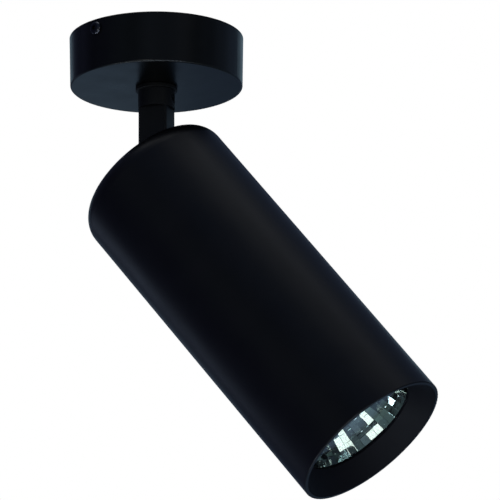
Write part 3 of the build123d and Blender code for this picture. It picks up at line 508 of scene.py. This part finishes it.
# Filament: a tungsten coil between two tails that stand on the capsule's foot; the tails' points are
# (station, rise, reach aside)
filament_turns, coil_radius, filament_radius = 14, 0.55, 0.11
coil_start, coil_length = 88.0, 5.0
turn_points, filament_sides = 16, 8
first_tail = [(80.0, 1.4, 0.0), (84.0, 1.4, 0.0), (87.0, 1.1, 0.0)]
last_tail = [(93.6, -1.0, 0.3), (91.0, -1.9, 0.2), (86.0, -1.9, 0.0), (80.0, -1.6, 0.0)]


def filament_line():
    """A helix round the lamp's axis, whose angle runs evenly with its station, between the two tails."""
    way = np.linspace(0, 1, filament_turns * turn_points)
    angle = 2 * np.pi * filament_turns * way
    coil = np.stack(
        [coil_start + coil_length * way, coil_radius * np.cos(angle), coil_radius * np.sin(angle)], axis=1
    )
    return on_tube(np.concatenate([first_tail, coil, last_tail]))


filament_skin = tube_round(filament_line(), filament_radius * mm, filament_sides)
filament = new_piece("tungsten_filament", filament_skin, drawn_tungsten)
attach(filament, "lamp")

# Leads: their routes lie where the CAD leads lie. Offsets are from the axis of the nipple, the tongue or
# the lampholder, and heights are counted from the ceiling
lead_radius = 0.75
lead_sides = 24
route_steps = 16
nipple_offset, tongue_offset, holder_offset = 2.1, 3.1, 5.0
tag_height, bend_height, block_height = -2.8, -4.2, -5.7
nipple_top, nipple_foot = -8.0, -25.2
tongue_top, tongue_foot, slack_foot = -39.25, -60.85, -70.35
slack_station, slack_rise, slack_spread = 28.59, -4.5, 3.0
holder_run, holder_end = 43.886, 56.486


def smooth_route(points):
    """Points along a NURBS line whose control points are the route's own."""
    curve = bpy.data.curves.new("route", "CURVE")
    curve.dimensions = "3D"
    curve.resolution_u = route_steps
    spline = curve.splines.new("NURBS")
    spline.points.add(len(points) - 1)
    spline.points.foreach_set("co", np.hstack([points, np.ones((len(points), 1))]).ravel())
    spline.order_u = 3
    spline.use_endpoint_u = True
    holder = bpy.data.objects.new("route", curve)
    scene.collection.objects.link(holder)
    line_mesh = bpy.data.meshes.new_from_object(holder)
    line = np.zeros(len(line_mesh.vertices) * 3)
    line_mesh.vertices.foreach_get("co", line)
    bpy.data.objects.remove(holder)
    bpy.data.curves.remove(curve)
    bpy.data.meshes.remove(line_mesh)
    return line.reshape(-1, 3)


def new_lead(name, node_name, slot_name, route):
    """Insulated lead along a route, marked round its skin by the cosine of the angle."""
    round_skin = np.cos(np.linspace(0, 2 * np.pi, lead_sides, endpoint=False))
    points = tube_round(smooth_route(route), lead_radius * mm, lead_sides)
    made = new_piece(
        name, points, lead_finishes[slot_name], marks=np.tile(round_skin, (len(points), 1))
    )
    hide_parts(node_name)
    return made


# In the cup: from the nipple, or the earth tag, up and over into the terminal block
cup_leads = {
    "live": ("brown_lead", [
        (nipple_offset, 0.0, nipple_top), (nipple_offset, 0.0, bend_height), (-1.34, 9.08, bend_height),
        (-4.84, 10.43, block_height), (-6.5, 11.06, block_height), (-13.38, 13.71, block_height),
    ]),
    "neutral": ("blue_lead", [
        (-nipple_offset, 0.0, nipple_top), (-nipple_offset, 0.0, bend_height),
        (-7.71, 2.96, block_height), (-9.4, 3.61, block_height), (-16.25, 6.24, block_height),
    ]),
    "earth": ("earth_lead", [
        (-3.6, -11.34, tag_height), (-7.06, -10.01, tag_height),
        (-10.57, -4.51, block_height), (-12.3, -3.85, block_height), (-19.12, -1.23, block_height),
    ]),
}
for use, (slot_name, route) in cup_leads.items():
    lead = new_lead(f"cup_{use}_wire", f"cup_{use}_lead", slot_name, mm * np.array(route))
    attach(lead, "ceiling")

# In the stem: down through the nipple and the tongue, laid at rest
stem_leads = {"live": ("brown_lead", 1.0), "neutral": ("blue_lead", -1.0)}
for use, (slot_name, side) in stem_leads.items():
    route = mm * np.array([
        (nipple_offset * side, 0.0, nipple_top), (nipple_offset * side, 0.0, nipple_foot),
        (tongue_offset * side, 0.0, tongue_top), (tongue_offset * side, 0.0, tongue_foot),
    ])
    lead = new_lead(f"stem_{use}_wire", f"stem_{use}_lead", slot_name, route)
    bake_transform(lead)

# In the tube: slack from the tongue to the lampholder, laid at rest along the tube
for use, (slot_name, side) in stem_leads.items():
    hanging = [(tongue_offset * side, 0.0, tongue_foot), (tongue_offset * side, 0.0, slack_foot)]
    held = [
        (slack_station, slack_rise + slack_spread * side, 0.0),
        (holder_run, holder_offset * side, 0.0), (holder_end, holder_offset * side, 0.0),
    ]
    route = np.concatenate([mm * np.array(hanging), on_tube(held)])
    lead = new_lead(f"slack_{use}_wire", f"tube_{use}_lead", slot_name, route)
    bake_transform(lead)


# Stage: a pale floor far below, which mirrors leave out so that they see the studio alone
floor_depth, floor_half = -1.3, 10.0
floor_corners = [(-1, -1), (1, -1), (1, 1), (-1, 1)]
floor_mesh = bpy.data.meshes.new("floor")
floor_mesh.from_pydata(
    [(floor_half * x, floor_half * y, floor_depth) for x, y in floor_corners], [], [(0, 1, 2, 3)]
)
floor_paint = finish(
    "pale_floor_paint", IOR=1.45,
    tones=("#e6e5e2", "#ecebe8"), patch=400.0, rough=(0.6, 0.7), grain=20.0, depth=0.05,
)
floor_mesh.materials.append(floor_paint.material)
floor = bpy.data.objects.new("floor", floor_mesh)
scene.collection.objects.link(floor)
floor.visible_glossy = False
floor.visible_transmission = False

# Studio: the camera sees white, soft light is a pale fill, and mirrors see a dim room in uneven patches
front_tone, rear_tone = (0.088, 0.108, 0.132, 1.0), (0.085, 0.13, 0.21, 1.0)
rear_way = (-0.3, 0.9, -0.3)
rear_start, rear_full = -0.5, 1.0
side_tones = (
    # axis, where the tone starts, where it is full, tone: below, above, left and overhead
    ("Z", -0.3, -0.8, (0.09, 0.125, 0.13, 1.0)),
    ("Z", 0.2, 0.5, (0.058, 0.08, 0.135, 1.0)),
    ("X", -0.35, -0.85, (0.035, 0.04, 0.075, 1.0)),
    ("Z", 0.8, 0.95, (0.45, 0.47, 0.5, 1.0)),
)
room_scale, room_detail = 6.0, 1.0
room_low, room_high = 0.35, 0.65
room_dim, room_bright = 0.25, 1.6
white_tone = (1.0, 1.0, 1.0, 1.0)
fill_tone, fill_strength = (0.92, 0.95, 1.0, 1.0), 0.9

scene.view_settings.view_transform = "Standard"
world = bpy.data.worlds.new("studio")
scene.world = world
world.use_nodes = True
tree = world.node_tree
tree.nodes.clear()
bearing = add(tree, "TexCoord", {}).outputs["Generated"]
bearing_axes = add(tree, "SeparateXYZ", {"Vector": bearing})
rearward = add(tree, "VectorMath", {0: bearing, 1: rear_way}, operation="DOT_PRODUCT")
rear_share = add(
    tree, "MapRange", {"Value": rearward.outputs["Value"], "From Min": rear_start, "From Max": rear_full},
    interpolation_type="SMOOTHSTEP",
)
room = add(
    tree, "Mix", {"Factor": rear_share.outputs["Result"], "A": front_tone, "B": rear_tone},
    data_type="RGBA",
)
for axis, start, full, tone in side_tones:
    side_share = add(
        tree, "MapRange", {"Value": bearing_axes.outputs[axis], "From Min": start, "From Max": full},
        interpolation_type="SMOOTHSTEP",
    )
    room = add(
        tree, "Mix", {"Factor": side_share.outputs["Result"], "A": room.outputs["Result"], "B": tone},
        data_type="RGBA",
    )
patches = add(tree, "TexNoise", {"Vector": bearing, "Scale": room_scale, "Detail": room_detail})
uneven = add(tree, "MapRange", {
    "Value": patches.outputs["Fac"], "From Min": room_low, "From Max": room_high,
    "To Min": room_dim, "To Max": room_bright,
})
mirrored = add(tree, "Background", {"Color": room.outputs["Result"], "Strength": uneven.outputs["Result"]})
fill = add(tree, "Background", {"Color": fill_tone, "Strength": fill_strength})
white = add(tree, "Background", {"Color": white_tone, "Strength": 1.0})
seen = add(tree, "LightPath", {})
lit = add(tree, "MixShader", {
    0: seen.outputs["Is Diffuse Ray"], 1: mirrored.outputs["Background"], 2: fill.outputs["Background"],
})
both = add(tree, "MixShader", {
    0: seen.outputs["Is Camera Ray"], 1: lit.outputs["Shader"], 2: white.outputs["Background"],
})
add(tree, "OutputWorld", {"Surface": both.outputs["Shader"]})

# Soft lights: way and distance from the spotlight's middle, side of the square, brightness of its face,
# and colour
object_middle = Vector((0.035, 0.0, -0.085))
soft_lights = {
    "front_low_softbox": ((0.17, -0.86, -0.47), 1.2, 0.36, 2.0, (1.0, 0.99, 0.97)),
    "right_softbox": ((0.85, -0.52, 0.05), 1.2, 0.2, 1.9, (1.0, 1.0, 0.98)),
    "low_card": ((0.0, -0.16, -0.98), 1.0, 0.3, 4.0, (0.75, 0.85, 1.0)),
    "left_edge_card": ((-0.44, -0.17, -0.88), 1.0, 0.24, 6.0, (0.75, 0.85, 1.0)),
    "right_edge_card": ((0.5, 0.18, -0.85), 1.0, 0.24, 2.4, (0.75, 0.85, 1.0)),
    "right_low_card": ((0.57, -0.3, -0.77), 1.0, 0.36, 2.4, (0.7, 0.82, 1.0)),
    "right_rim_panel": ((0.05, 0.96, 0.26), 1.6, 0.6, 0.38, (0.58, 0.87, 1.0)),
    "left_rim_panel": ((-0.7, 0.67, 0.26), 1.6, 0.4, 0.4, (0.58, 0.87, 1.0)),
    "left_side_panel": ((-0.93, 0.32, -0.18), 0.55, 0.2, 0.34, (0.6, 0.75, 1.0)),
    "left_low_card": ((-0.62, 0.785, 0.01), 0.29, 0.12, 0.12, (0.6, 0.85, 1.0)),
    "top_panel": ((0.0, 0.05, 1.0), 1.6, 0.6, 1.2, (0.85, 0.95, 1.0)),
}
for name, (direction, distance, size, radiance, colour) in soft_lights.items():
    light_data = bpy.data.lights.new(name, "AREA")
    light_data.shape = "SQUARE"
    light_data.size = size
    light_data.energy = radiance * np.pi * size * size
    light_data.color = colour
    light = bpy.data.objects.new(name, light_data)
    way = Vector(direction).normalized()
    facing = way.to_track_quat("Z", "Y").to_matrix().to_4x4()
    light.matrix_world = Matrix.Translation(object_middle + distance * way) @ facing
    light.visible_camera = False
    scene.collection.objects.link(light)
